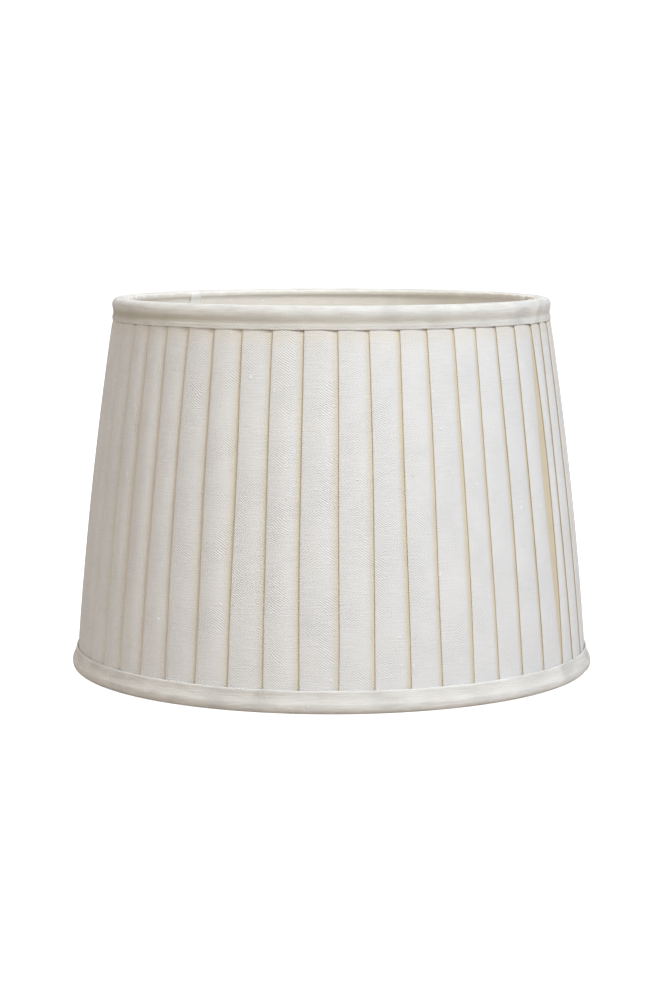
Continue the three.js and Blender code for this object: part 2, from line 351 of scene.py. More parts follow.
def finish_piece(obj, material, replaced=()):
    """What every piece gets: its material, its body and the plain solids that it stands for."""
    obj.data.materials.clear()
    obj.data.materials.append(material)
    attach(obj, BODY)
    if replaced:
        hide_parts(*replaced)
    return obj


def across_strip(line):
    """How far across a strip each point of its outline lies, from the strip's middle line."""
    span = np.concatenate([[0], np.cumsum(np.linalg.norm(np.diff(line, axis=0), axis=1))])
    return np.concatenate([span, span[-1:], span[::-1], [0]])


def cylinder(name, vertices, radius, depth, **placing):
    """A closed cylinder with its place written into its mesh."""
    bpy.ops.object.select_all(action="DESELECT")
    bpy.ops.mesh.primitive_cylinder_add(vertices=vertices, radius=radius, depth=depth, **placing)
    obj = bpy.context.object
    obj.name = name
    only(obj)
    bpy.ops.object.transform_apply(location=True, rotation=True, scale=True)
    return obj


def pick(obj, kind, wanted):
    """Goes into edit mode with just the wanted faces or edges selected."""
    only(obj)
    bpy.ops.object.mode_set(mode="EDIT")
    bpy.ops.mesh.select_mode(type=kind)
    bpy.ops.mesh.select_all(action="DESELECT")
    mesh = bmesh.from_edit_mesh(obj.data)
    for part in mesh.faces if kind == "FACE" else mesh.edges:
        part.select_set(wanted(part))
    bmesh.update_edit_mesh(obj.data)


def round_ends(obj, offset, segments):
    """Bevels the rims of a cylinder's two ends."""
    pick(obj, "EDGE", lambda edge: any(len(face.verts) > 4 for face in edge.link_faces))
    bpy.ops.mesh.bevel(offset=offset, segments=segments, affect="EDGES")
    bpy.ops.object.mode_set(mode="OBJECT")


def frame_at(angle, origin, along):
    """A matrix that stands a piece at a point of the wall, its Z along a direction and its X outwards."""
    z = Vector(along).normalized()
    outward = Vector(place(angle, 1.0, 0.0).tolist())
    y = z.cross(outward).normalized()
    x = y.cross(z)
    return Matrix((
        (x.x, y.x, z.x, origin[0]), (x.y, y.y, z.y, origin[1]), (x.z, y.z, z.z, origin[2]), (0, 0, 0, 1)
    ))


def join_copies(name, original, matrices):
    """Copies a small piece to each place and joins the copies into one object."""
    copies = []
    for matrix in matrices:
        copy = bpy.data.objects.new(name, original.data.copy())
        copy.data.transform(matrix)
        bpy.context.scene.collection.objects.link(copy)
        copies.append(copy)
    bpy.data.objects.remove(original)
    only(copies[0])
    for copy in copies:
        copy.select_set(True)
    bpy.ops.object.join()
    bpy.context.object.name = name
    return bpy.context.object


def wobble(angle, seed, counts, depth):
    """A smooth, closed wave round the shade, from whole numbers of waves with seeded phases."""
    rng = np.random.default_rng(seed)
    phases = rng.uniform(0, 2 * np.pi, len(counts))
    sizes = rng.uniform(0.5, 1, len(counts))
    waves = [s * np.sin(np.radians(angle) * n + p) for n, p, s in zip(counts, phases, sizes)]
    return depth * sum(waves) / math.sqrt(len(counts))


# ---- shader helpers ----


class Nodes:
    """Adds nodes to a tree from left to right."""

    def __init__(self, tree):
        self.tree = tree

    def add(self, kind, inputs=(), **settings):
        node = self.tree.nodes.new(kind)
        for name, value in settings.items():
            setattr(node, name, value)
        for key, value in dict(inputs).items():
            self.feed(node.inputs[key], value)
        return node

    def feed(self, socket, value):
        if isinstance(value, bpy.types.NodeSocket):
            self.tree.links.new(value, socket)
        else:
            socket.default_value = value

    def math(self, operation, *values):
        return self.add("ShaderNodeMath", dict(enumerate(values)), operation=operation).outputs[0]

    def times(self, value, factor):
        return self.math("MULTIPLY", value, factor)

    def mix(self, share, first, second):
        node = self.add("ShaderNodeMix", data_type="RGBA", blend_type="MIX")
        for key, value in (("Factor_Float", share), ("A_Color", first), ("B_Color", second)):
            self.feed(next(s for s in node.inputs if s.identifier == key), value)
        return next(s for s in node.outputs if s.identifier == "Result_Color")

    def noise(self, vector, scale, detail=2.0, roughness=0.5):
        inputs = {"Vector": vector, "Scale": scale, "Detail": detail, "Roughness": roughness}
        return self.add("ShaderNodeTexNoise", inputs).outputs["Fac"]

    def stretched(self, vector, x, y):
        return self.add("ShaderNodeMapping", {"Vector": vector, "Scale": (x, y, 1.0)}).outputs["Vector"]

    def bump(self, height, strength, distance):
        inputs = {"Height": height, "Strength": strength, "Distance": distance}
        return self.add("ShaderNodeBump", inputs).outputs["Normal"]

    def spread(self, value, low, high, to_low=0.0, to_high=1.0):
        inputs = {"Value": value, "From Min": low, "From Max": high, "To Min": to_low, "To Max": to_high}
        return self.add("ShaderNodeMapRange", inputs, interpolation_type="SMOOTHSTEP").outputs["Result"]


def new_group(name, inputs, outputs):
    """The nodes and the two ends of a node group, with kinds for its inputs. Its outputs are numbers."""
    tree = bpy.data.node_groups.new(name, "ShaderNodeTree")
    for direction, sockets in (("INPUT", inputs), ("OUTPUT", dict.fromkeys(outputs, "Float"))):
        for label, kind in sockets.items():
            tree.interface.new_socket(name=label, in_out=direction, socket_type="NodeSocket" + kind)
    nodes = Nodes(tree)
    return nodes, nodes.add("NodeGroupInput").outputs, nodes.add("NodeGroupOutput").inputs


def weave_group():
    """A linen weave on the cloth's own UV map: twill lines that turn back in a herringbone, slubs and nubs.

    Pitch is the distance between twill lines, Band the width of a herringbone stripe, Lean the twill's slope.
    """
    n, given, out = new_group(
        "linen_weave",
        {"Cloth": "Vector", "Pitch": "Float", "Band": "Float", "Lean": "Float"},
        ["Height", "Thread", "Slub", "Nub", "Fleck"],
    )
    cloth = given["Cloth"]
    split = n.add("ShaderNodeSeparateXYZ", {"Vector": cloth}).outputs
    drift = n.times(n.math("SUBTRACT", n.noise(cloth, 70.0), 0.5), 0.003)
    side = n.math("PINGPONG", n.math("ADD", split["X"], drift), given["Band"])
    leaning = n.times(side, given["Lean"])
    phase = n.math("DIVIDE", n.math("ADD", n.math("ADD", split["Y"], leaning), drift), given["Pitch"])
    twill = n.math("SINE", n.times(phase, math.tau))
    slub = n.noise(n.stretched(cloth, 90.0, 1100.0), 1.0, 3.0, 0.6)
    warp_thread = n.noise(n.stretched(cloth, 1500.0, 120.0), 1.0)
    fine = n.noise(cloth, 1300.0, 2.0, 0.7)
    nub = n.spread(n.noise(cloth, 260.0, 1.0, 0.4), 0.735, 0.79)
    patch = n.spread(n.noise(cloth, 55.0), 0.3, 0.7, 0.25, 1.0)
    thread = n.times(twill, patch)
    height = 0.0
    for part, amount in ((thread, 0.5), (slub, 1.4), (warp_thread, 0.7), (fine, 0.9), (nub, 1.3)):
        height = n.math("MULTIPLY_ADD", part, amount, height)
    fleck = n.spread(n.noise(cloth, 190.0, 1.0, 0.4), 0.26, 0.20)
    for label, value in (("Height", height), ("Thread", thread), ("Slub", slub), ("Nub", nub), ("Fleck", fleck)):
        n.feed(out[label], value)


def tone(colour, scale=1.0, warmth=0.0):
    """A colour made lighter or darker, and warmer by taking out some green and twice as much blue."""
    red, green, blue = (min(1.0, c * scale) for c in colour)
    return (red, green * (1 - warmth), blue * (1 - 2 * warmth), 1.0)


def new_material(name, looks):
    """A material, its nodes and its shader's inputs, with the looks written into them."""
    material = bpy.data.materials.new(name)
    material.use_nodes = True
    inputs = material.node_tree.nodes["Principled BSDF"].inputs
    for label, value in looks.items():
        inputs[label].default_value = value
    return material, Nodes(material.node_tree), inputs


def plain_material(name, colour, roughness):
    return new_material(name, {"Base Color": (*colour, 1), "Roughness": roughness})[0]


def cloth_material(name, colour, relief, twill_groove_shade, painted_light_colour=None, roughness=0.92, streaks=0.0, **woven_as):
    """Matte woven cloth. With a painted light colour, it turns to that where the attribute "fold" is 1: painted shade
    deep in folds and creases, and on the lining a painted highlight along its seam.

    Streaks are long, dull patches along the strip.
    """
    looks = {"Roughness": roughness, "Specular IOR Level": 0.2, "Sheen Weight": 0.1, "Sheen Roughness": 0.5}
    material, n, shader = new_material(name, looks)
    cloth = n.add("ShaderNodeUVMap", uv_map="cloth").outputs["UV"]
    weave = bpy.data.node_groups["linen_weave"]
    woven = n.add("ShaderNodeGroup", {"Cloth": cloth, **woven_as}, node_tree=weave).outputs
    base = n.mix(n.spread(woven["Slub"], 0.3, 0.7), tone(colour, 0.955), tone(colour, 1.045))
    layers = [
        # painted shade in the twill's grooves, darker where the weave's height is low
        (n.spread(woven["Thread"], 1.0, -1.0), twill_groove_shade, (0.80, 0.012)),
        (n.spread(n.noise(cloth, 22.0, 3.0), 0.35, 0.7), 0.4, (1.0, 0.016)),
        (woven["Nub"], 0.65, (1.12, 0.0)),
        (woven["Fleck"], 0.5, (0.86, 0.05)),
    ]
    if streaks:
        streak = n.spread(n.noise(n.stretched(cloth, 75.0, 330.0), 1.0, 3.0, 0.6), 0.42, 0.72)
        layers.insert(2, (streak, streaks, (0.80, 0.035)))
    for mask, share, shade in layers:
        base = n.mix(n.times(mask, share), base, tone(colour, *shade))
    # painted shade in folds and creases, and on the lining a painted highlight along its seam, read from the
    # per-vertex attribute
    if painted_light_colour:
        fold = n.add("ShaderNodeAttribute", attribute_name="fold").outputs["Fac"]
        base = n.mix(fold, base, (*painted_light_colour, 1.0))
    n.feed(shader["Base Color"], base)
    n.feed(shader["Normal"], n.bump(woven["Height"], relief, 0.16 * MM))
    return material


# ---- the pleated cover ----


def cover_outside(z, puff):
    """Radius of the pleats' raised folds. The step from the frame's own line is set at the cover's lower edge."""
    stack = COVER_EDGE_RADIUS - frame_radius(COVER_LOW)
    squeeze = 0.75 * MM * bump_at(z, HEIGHT - 8.6 * MM, 4 * MM)  # where the top binding draws the pleats in
    return frame_radius(z) + stack + puff * arch(z) - squeeze


def pleat_samples():
    """How one pleat's strip is followed, from its fold to the next one: (stretch, share of that stretch)."""
    turn = [("turn", s) for s in np.linspace(0, 1, 7)]
    face = [("face", s) for s in (0.08, 0.2, 0.32, 0.44, 0.56, 0.67, 0.76, 0.83, 0.89, 0.94, 0.98, 1.0)]
    gutter = [("gutter", s) for s in (0.5, 1.0)]
    under = [("under", s) for s in (0.5, 1.0)]
    hidden_turn = [("hidden_turn", s) for s in (0.25, 0.5, 0.75, 1.0)]
    back = [("back", s) for s in (0.35, 0.7)]
    return turn + face + gutter + under + hidden_turn + back


def fold_angles(cover, heights, rng):
    """The angle of every fold at every height, and the number of the pleat that gapes."""
    pitch = 360 / cover.pleats
    spring = arch(heights) ** 0.8
    folds = []
    for k in range(cover.pleats):
        wander = cover.drift * math.cos(math.radians(4 * (k - 1.5) * pitch))
        stray = cover.unevenness * rng.uniform(-1, 1)
        bow = 1.6 * cover.unevenness * rng.uniform(-1, 1) * spring
        sway = 0.13 * np.sin(heights / HEIGHT * math.tau * rng.uniform(0.6, 1.3) + rng.uniform(0, 6)) * spring
        folds.append(cover.first_fold + k * pitch + wander + stray + bow + sway)
    gaping = round((GAPING_ANGLE - cover.first_fold) / pitch)
    folds[gaping] = np.full_like(heights, GAPING_ANGLE + 0.5) + 1.3 * arch(heights)
    return np.array(folds), gaping


def pleated_cover_points(cover):
    """Points, UVs and painted fold-shade values of the folded strip, over a grid of columns round the shade and rows
    up it.
    """
    rng = np.random.default_rng(7)
    heights = np.linspace(COVER_LOW, COVER_HIGH, 31)
    spring = arch(heights) ** 0.8  # how far the folds have sprung open
    radius = cover_outside(heights, cover.puff)
    count = cover.pleats
    folds, gaping = fold_angles(cover, heights, rng)
    nexts = np.vstack([folds[1:], folds[:1] + 360])
    step = cover.sewn_step + (cover.open_step - cover.sewn_step) * spring
    middles = folds.mean(axis=1)
    soft = 0.5 - 0.5 * np.sin(np.radians(middles))  # the pleats on the left are pressed less sharply; there the painted fold shade is also broader and weaker
    flat = 1 - 0.8 * bump_at((middles + 180) % 360 - 180, -82, 14)  # the painted fold shade fades out at the far left, where the pleats lie in deep shade
    steps = np.outer(rng.uniform(0.98, 1.2, count), step)
    grooves = np.outer(rng.uniform(0.6, 1.3, count) * cover.gutter * (0.7 + 0.6 * soft), spring) + RIM_GROOVE
    grooves[gaping - 1] = cover.gape * arch(heights) ** 1.5 + RIM_GROOVE
    painted_lip_shadow = bump_at(heights, TOP_LIP_Z, 5.5 * MM)  # painted shadow that the top binding casts on the cloth below it
    points, uvs, values = [], [], []
    for k in range(count):
        run = np.radians(nexts[k] - folds[k]) * radius  # arc from this fold to the next
        down, after, groove = steps[k], steps[(k + 1) % count], grooves[k]
        hidden = (cover.cloth_per_pleat - run) / 2  # length of each of the two layers under the next pleat
        under = hidden - TURN_ROOM
        roll, bend = (down - LAYER_GAP) / 2, LAYER_GAP / 2  # radii of the turns at the fold and underneath
        swell = 0.65 * MM * rng.uniform(0.2, 1.5) * (0.1 + 0.9 * spring)
        lean = rng.uniform(0.7, 1.15)
        shoulder = rng.uniform(1.8, 4.0)
        # strength of the painted shade that stands for shadow and bounced light in this pleat's fold
        fold_shade_strength = rng.uniform(0.75, 1.05) * flat[k] * (1 - 0.4 * soft[k])
        start = 0.90 - 0.26 * soft[k]
        # painted fold shade: light at the turn, growing over the face's shoulder, full in the gutter and the hidden
        # layers
        for stretch, share in pleat_samples():
            if stretch == "turn":
                swing = math.pi * (1 - share)
                along = roll * (1 - math.sin(swing))
                depth = roll * (1 - math.cos(swing))
                fold, length = 0.45 * fold_shade_strength * (1 - share), 0.0
            elif stretch == "face":
                along = roll + (run - groove - roll) * share
                depth = after * share**shoulder - swell * math.sin(math.pi * share**lean) * (1 - share**6)
                fold, length = 0.9 * fold_shade_strength * max(0.0, (share - start) / (1 - start)) ** 1.6, along
            elif stretch == "gutter":
                along, depth = run - groove * (1 - share), after
                fold, length = fold_shade_strength, along
            elif stretch == "under":
                along, depth = run + under * share, after
                fold, length = 1.0, along
            elif stretch == "hidden_turn":
                swing = math.pi * share
                along = run + under + bend * math.sin(swing)
                depth = after - bend * (1 - math.cos(swing))
                fold, length = 1.0, run + hidden
            else:
                along, depth = run + under * (1 - share), after - 2 * bend
                fold, length = 1.0, run + hidden + hidden * share
            points.append(place(folds[k] + np.degrees(along / radius), radius - depth, heights))
            u = k * cover.cloth_per_pleat + np.broadcast_to(length, radius.shape)
            uvs.append(np.stack([u, heights], axis=-1))
            # painted fold shade, plus the painted shadow under the top binding
            values.append(np.clip(fold + 0.35 * (1 - fold) * painted_lip_shadow, 0, 1))
    return np.array(points), np.array(uvs), np.array(values)


class SHADE_OT_pleated_cover(bpy.types.Operator):
    """Folds the linen strip into knife pleats round the frame"""

    bl_idname = "shade.pleated_cover"
    bl_label = "Pleated cover"

    def execute(self, context):
        cover = context.scene.shade_cover
        points, uvs, values = pleated_cover_points(cover)
        obj = sheet_round("pleated_cover_cloth", points, uvs, values, cover.cloth)
        material = cloth_material(
            "pleat_linen_cloth", cover.colour, relief=0.95, twill_groove_shade=0.85, painted_light_colour=cover.painted_light_colour,
            Pitch=1.3 * MM, Band=9.4 * MM, Lean=-0.7,
        )
        finish_piece(obj, material, ["pleated_cover"])
        return {"FINISHED"}


# ---- the bindings ----


def ribbon(line, thickness):
    """The closed outline of a ribbon whose middle follows a line of (radius, height) points."""
    line = np.asarray(line)
    along = np.gradient(line, axis=0)
    along /= np.linalg.norm(along, axis=1)[:, None]
    normal = np.stack([along[:, 1], -along[:, 0]], axis=1) * thickness / 2
    first = line[0] - along[0] * thickness / 2
    last = line[-1] + along[-1] * thickness / 2
    return np.vstack([line + normal, last, (line - normal)[::-1], first])


def rounded(corners, radii, steps=4):
    """A line through corners, each inner one replaced by a curve that starts its radius away."""
    corners = [np.array(c, float) for c in corners]
    line = [corners[0]]
    for before, corner, after, radius in zip(corners, corners[1:], corners[2:], radii):
        into, out = before - corner, after - corner
        start = corner + into * min(0.5, radius / np.linalg.norm(into))
        end = corner + out * min(0.5, radius / np.linalg.norm(out))
        for s in np.linspace(0, 1, steps + 1):
            line.append((1 - s) ** 2 * start + 2 * s * (1 - s) * corner + s**2 * end)
    line.append(corners[-1])
    line = np.array(line)
    apart = np.linalg.norm(np.diff(line, axis=0), axis=1) > 0.02 * MM
    return line[np.concatenate([[True], apart])]


def rim_of(top):
    """(height of the rim's plane, direction into the shade, the ring's radius) at the top or the bottom."""
    return (HEIGHT, -1, TOP_RADIUS) if top else (0.0, 1, BOTTOM_RADIUS)


def binding_line(top, settings, puff):
    """The middle line of a bias strip folded round a rim, from one turned-in raw edge to the other."""
    plane, inward, ring = rim_of(top)
    depth = abs((TOP_LIP_Z if top else BOTTOM_LIP_Z) - plane)
    bulge = (TOP_LIP_RADIUS - 0.6 * MM) if top else BOTTOM_BULGE_RADIUS
    half = settings.cloth / 2
    double = 2 * settings.cloth + 0.05 * MM
    lifted = 0.05 * MM if top else 0.35 * MM

    def outer(down, out):
        z = plane + inward * down
        return cover_outside(z, puff) + half + 0.05 * MM + out, z

    def inner(down, out):
        z = plane + inward * down
        return lining_radius(z) - half - out, z

    def at(radius, down):
        return radius, plane + inward * down

    full = bulge - half
    start = outer(depth - (1.5 if top else 0.7) * MM, (0.95 if top else 1.0) * double + lifted)
    if top:  # drawn in below the wire, where only one layer lies on the cover
        side = [at(full + out * MM, down * MM) for out, down in TOP_NECK]
    else:
        side = [at(start[0] + 0.05 * MM, depth - 2.0 * MM)]
        side += [at(start[0] + share * (full - start[0]) + out * MM, down * MM) for share, out, down in BOTTOM_FACE]
    line = [
        outer(depth - settings.turned_in, 0),
        outer(depth - 2.0 * MM, 0),
        outer(depth - 0.3 * MM, lifted),
        outer(depth - 0.02 * MM, double * (0.35 if top else 0.5) + lifted),
        start,
        *side,
        at(full - 1.3 * MM, 0.7 * MM),
        at(full - 3.0 * MM, half),
        at(ring - 0.8 * MM, half),
        inner(0.75 * MM, double - 0.5 * MM),
        inner(1.9 * MM, double),
        inner(INNER_LEG - 0.3 * MM, double),
        inner(INNER_LEG, double / 2),
        inner(INNER_LEG - 0.3 * MM, 0),
        inner(1.7 * MM, 0),
    ]
    radii = [MM * r for r in (0.5, 0.3, 0.4, 0.6, 1.2, 1, 1, 1, 1, 1, 1, 1.5, 1.5, 1.5, 1, 0.8, 0.3, 0.4, 0.3)]
    return rounded(line, radii, steps=3)


def binding(name, top, settings, puff, join):
    """The strip swept once round its rim, with its slanting second end lapped over the first."""
    plane, inward, ring = rim_of(top)
    line = binding_line(top, settings, puff)
    outline = ribbon(line, settings.cloth)
    across = across_strip(line)
    angles = np.linspace(join - settings.lap / 2, join + 360 + settings.lap / 2, 600)
    slant = np.degrees((across - across.max() * 0.35) * 0.8 / ring)  # the ends are cut on the bias
    ring_angles = angles[:, None] + slant[None, :]
    end_gap = angles[-1] - angles
    over = np.clip((settings.lap + 1.0 - end_gap) / 1.0, 0, 1)
    over = over * over * (3 - 2 * over)  # the last stretch lies on the first
    depth = np.abs(outline[:, 1] - plane)
    outside = 1 / (1 + np.exp(-(outline[:, 0] - ring) / (0.6 * MM)))
    lip = np.clip((depth - 6 * MM) / (6 * MM), 0, 1) * outside
    middle = (bump_at(depth, 8.1 * MM, 2.7 * MM) if top else bump_at(depth, 7.6 * MM, 1.9 * MM)) * outside
    rolled = bump_at(depth, 3.4 * MM, 2.6 * MM) * outside
    seed = 11 if top else 23
    swelling = wobble(ring_angles, seed, [3, 5, 8, 13, 21], settings.ripple)
    sinking = wobble(ring_angles, seed + 1, [11, 17, 29, 41], settings.ripple)
    edge = wobble(ring_angles, seed + 2, [9, 19, 31, 53, 71], settings.ripple * 0.5)
    radial = outline[:, 0] + over[:, None] * 1.1 * settings.cloth * (2 * outside - 1)
    radial = radial + 0.6 * swelling * rolled + 0.3 * sinking * middle
    height = outline[:, 1] + inward * edge * lip
    height = height - inward * over[:, None] * 1.1 * settings.cloth * bump_at(depth, 0, 1.2 * MM)
    height = np.clip(height, 0.02 * MM, HEIGHT - 0.02 * MM)
    points = place(ring_angles, radial, height)
    u = np.radians(ring_angles - join) * ring
    uvs = np.stack([u, np.broadcast_to(across, u.shape)], axis=-1)
    obj = swept(name, points, uvs)
    # painted shade: lines along the lap's ends and the hollow band below the roll; on the top binding it is stronger
    # towards the left, away from the key light
    edges = bump_at(end_gap, 0.0, 0.22) + bump_at(end_gap, 1.7, 0.3) + 0.5 * bump_at(end_gap, 2.6, 0.2)
    left = 0.5 - 0.5 * np.sin(np.radians(ring_angles))
    shade = (0.55 + 0.55 * left if top else 0.3) * middle
    add_painted_light(obj, np.clip(0.7 * edges[:, None] + shade, 0, 1))
    return obj


class SHADE_OT_bindings(bpy.types.Operator):
    """Folds a bias strip round each rim"""

    bl_idname = "shade.bindings"
    bl_label = "Bindings"

    def execute(self, context):
        settings, puff = context.scene.shade_binding, context.scene.shade_cover.puff
        material = cloth_material(
            "binding_linen_cloth", settings.colour, relief=1.5, twill_groove_shade=1.0, painted_light_colour=settings.binding_shade_colour,
            streaks=0.75, Pitch=1.05 * MM, Band=10.0, Lean=0.9,
        )
        joins = (("top_binding", True, settings.top_join), ("bottom_binding", False, settings.bottom_join))
        for name, top, join in joins:
            obj = binding(name + "_cloth", top, settings, puff, join)
            finish_piece(obj, material, [name])
        return {"FINISHED"}


# ---- the lining and the neatening pieces ----


def lining_line():
    """The lining's outer side from the bottom edge to the top one: (radius, height, nearness to an edge)."""
    line = []
    for top in (False, True):
        plane, inward, _ = rim_of(top)
        rim = []
        for down, out in LINING_EDGE:
            z = plane + inward * down * MM
            rim.append((lining_radius(z) - out * MM, z, max(0.0, 1 - down / 6.0)))
        line += rim[::-1] if top else rim
    middle = [(lining_radius(z), z, 0.0) for z in np.linspace(0.02, HEIGHT - 0.02, 30)]
    return np.array(sorted(line + middle, key=lambda point: point[1]))


def stitch_beat(ring, settings):
    """The phase of the stitching at an angle: a stitch lies halfway between two multiples of pi."""
    return np.radians(ring) * settings.stitches / 2 + wobble(ring, 3, [2, 5, 7], 0.9)


def stitch_angles(settings):
    """Where the stitches lie, a little unevenly spaced round the rim."""
    ring = np.linspace(-180, 180, 4001)
    beat = stitch_beat(ring, settings)
    first = math.ceil(beat[0] / math.pi - 0.5)
    return np.interp((first + np.arange(settings.stitches) + 0.5) * math.pi, beat, ring)


def lining_points(settings):
    """Points and UVs of the stretched lining, with its stitched edges, its seam and its strain wrinkles."""
    line = lining_line()
    angles = np.linspace(-180, 180, 577)[:-1]
    ring, z = np.meshgrid(angles, line[:, 1], indexing="ij")
    radius, near = np.broadcast_to(line[:, 0], z.shape), np.broadcast_to(line[:, 2], z.shape)
    lobes = np.abs(np.cos(stitch_beat(ring, settings))) ** 0.6
    size = 0.65 + 0.35 * wobble(ring, 4, [5, 9, 15], 1.0)
    z = z + np.where(z > HEIGHT / 2, 1, -1) * (lobes - 0.75) * size * settings.pucker * near**1.2
    ripple = wobble(ring, 5, [9, 14, 23, 37], 0.30 * MM) * (0.25 + 0.75 * np.clip((z / HEIGHT - 0.7) / 0.2, 0, 1))
    pull = sum(
        strength * bump_at(ring + run * (z - HEIGHT) / MM, angle, width) for angle, width, run, strength in WRINKLES
    )
    pull *= np.clip((z - HEIGHT + 40 * MM) / (30 * MM), 0, 1)
    seam_angle = angle_of("seam_strut_tape") + settings.seam_offset
    seam = bump_at((ring - seam_angle + 180) % 360 - 180, 0, 0.3)
    free = 1 - near
    radius = radius - (np.abs(ripple) + 0.5 * MM * pull) * free - 0.35 * MM * seam
    radius = radius - 0.25 * MM * lobes * near
    uvs = np.stack([np.radians(ring) * TOP_RADIUS, z], axis=-1)
    # painted highlight along the seam's ridge
    values = 0.9 * seam
    return place(ring, radius, z)[:, ::-1], uvs[:, ::-1], values[:, ::-1]


class SHADE_OT_lining(bpy.types.Operator):
    """Stretches the lining inside the struts and stitches it over the bindings' inner legs"""

    bl_idname = "shade.lining"
    bl_label = "Lining"

    def execute(self, context):
        settings = context.scene.shade_lining
        points, uvs, values = lining_points(settings)
        obj = sheet_round("lining_inside", points, uvs, values, settings.cloth)
        material = cloth_material(
            "lining_cloth_finish", settings.colour, relief=0.25, twill_groove_shade=0.2, painted_light_colour=settings.seam_highlight_colour,
            roughness=0.8, Pitch=0.8 * MM, Band=10.0, Lean=0.0,
        )
        finish_piece(obj, material, ["lining"])
        return {"FINISHED"}


class SHADE_OT_stitches(bpy.types.Operator):
    """Sews the lining to the bindings with short slanting stitches"""

    bl_idname = "shade.stitches"
    bl_label = "Stitches"

    def execute(self, context):
        settings = context.scene.shade_lining
        stitch = cylinder("stitch", 8, THREAD / 2, STITCH_LENGTH)
        round_ends(stitch, 0.12 * MM, 1)
        smooth(stitch)
        places = []
        for top in (True, False):
            plane, inward, _ = rim_of(top)
            for angle in stitch_angles(settings):
                ends = []
                for down, out, aside in STITCH_ENDS:
                    z = plane + inward * down * MM
                    ends.append(place(angle + aside, frame_radius(z) - out * MM, z))
                places.append(frame_at(angle, (ends[0] + ends[1]) / 2, ends[0] - ends[1]))
        obj = join_copies("lining_stitches", stitch, places)
        finish_piece(obj, plain_material("sewing_thread", settings.strip_colour, 0.7))
        return {"FINISHED"}


def strip_line(settings):
    """The middle line of a neatening strip, from the top rim down to its fold and back up behind itself."""
    low = STRIP_LOW + settings.strip_cloth

    def at(z, out):
        return lining_radius(z) - settings.cloth - out, z

    front = [at(HEIGHT - down * MM, out * MM) for down, out in STRIP_RIM]
    front += [at(z, 0.6 * MM) for z in (ARM_Z + 3 * MM, ARM_Z - 3 * MM, low)]
    fold = [at(low - 0.25 * MM, 0.45 * MM), at(low, 0.3 * MM)]
    back = [at(ARM_Z, 0.25 * MM), at(HEIGHT - 9 * MM, 0.25 * MM), at(HEIGHT - 6 * MM, 0.3 * MM)]
    return np.array(front + fold + back)


def neatening_strip(name, angle, settings):
    """A folded strip of lining cloth that passes under one arm."""
    line = strip_line(settings)
    outline = ribbon(line, settings.strip_cloth / 2)
    across = across_strip(line)
    points, uvs = [], []
    for share in np.linspace(-1, 1, 15):
        side = share * STRIP_HALF
        edge = (0.12 - 0.5 * abs(share) ** 6) * MM  # the strip's own folded sides lie closer
        radial = outline[:, 0] - edge + side * side / 0.24  # which keeps the strip flat across its width
        arms = np.hypot(side, outline[:, 1] - ARM_Z) / (3.2 * MM)
        radial = radial - 0.8 * MM * np.exp(-arms * arms)  # stands off where the arm goes through
        points.append(place(angle + np.degrees(side / outline[:, 0]), radial, outline[:, 1]))
        uvs.append(np.stack([np.full(len(outline), side), across], axis=-1))
    return swept(name, np.array(points), np.array(uvs))


class SHADE_OT_neatening_strips(bpy.types.Operator):
    """Folds a strip of cloth under each arm of the fitter"""

    bl_idname = "shade.neatening_strips"
    bl_label = "Neatening strips"

    def execute(self, context):
        settings = context.scene.shade_lining
        material = cloth_material(
            "neatening_cloth", settings.strip_colour, relief=0.3, twill_groove_shade=0.2, roughness=0.8,
            Pitch=0.8 * MM, Band=10.0, Lean=0.0,
        )
        for number, arm in enumerate(ARMS, 1):
            node = f"neatening_piece_{number}"
            obj = neatening_strip(f"neatening_strip_{number}", angle_of(arm), settings)
            finish_piece(obj, material, [node])
        return {"FINISHED"}


# ---- the tape wound round the wires ----


def winding(name, centre_line, frames, wire, settings, closed):
    """A tape wound round a wire in overlapping turns, and its flat size.

    centre_line holds points along the wire and frames the two directions across it at each of them.
    """
    width = settings.tape_width
    legs = np.linalg.norm(np.diff(centre_line, axis=0), axis=1)
    along = np.concatenate([[0], np.cumsum(legs)])
    length = along[-1]
    wound = length - (0 if closed else width)
    turns = round(wound / settings.tape_advance)
    advance = wound / turns
    swing = np.linspace(0, turns * math.tau, turns * 10 + 1)
    shares = np.array([0.0, 0.3, 0.62, 0.72, 1.0])
    cloth = 0.25 * MM
    sheets = []
    for outer in (1, 0):
        radius = wire / 2 + 0.08 * MM + cloth * outer + 1.15 * cloth * (shares > 0.66)
        at = advance * swing[:, None] / math.tau + shares[None, :] * width
        if closed:
            at = at % length
        spot, first, second = (
            np.stack([np.interp(at, along, values[:, c]) for c in range(3)], axis=-1)
            for values in (centre_line, *frames)
        )
        turn = swing[:, None, None]
        sheets.append(spot + radius[None, :, None] * (np.cos(turn) * first + np.sin(turn) * second))
    points = np.concatenate([sheets[0], sheets[1][:, ::-1]], axis=1)
    u = np.broadcast_to((swing * wire / 2)[:, None], points.shape[:2])
    v = np.broadcast_to(np.concatenate([shares, shares[::-1]]) * width, points.shape[:2])
    return swept(name, points, np.stack([u, v], axis=-1)), (width, turns * math.hypot(math.pi * wire, advance))


def wire_ring_path(radius, z):
    angles = np.linspace(0, 360, 361)
    outward = place(angles, 1.0, 0.0)
    return place(angles, radius, z), (outward, np.tile([0.0, 0.0, 1.0], (len(angles), 1)))


def strut_path(angle, low, high):
    heights = np.linspace(low, high, 41)
    outward = place(np.full(41, angle), 1.0, 0.0)
    sideways = place(np.full(41, angle + 90), 1.0, 0.0)
    return place(angle, frame_radius(heights), heights), (outward, sideways)


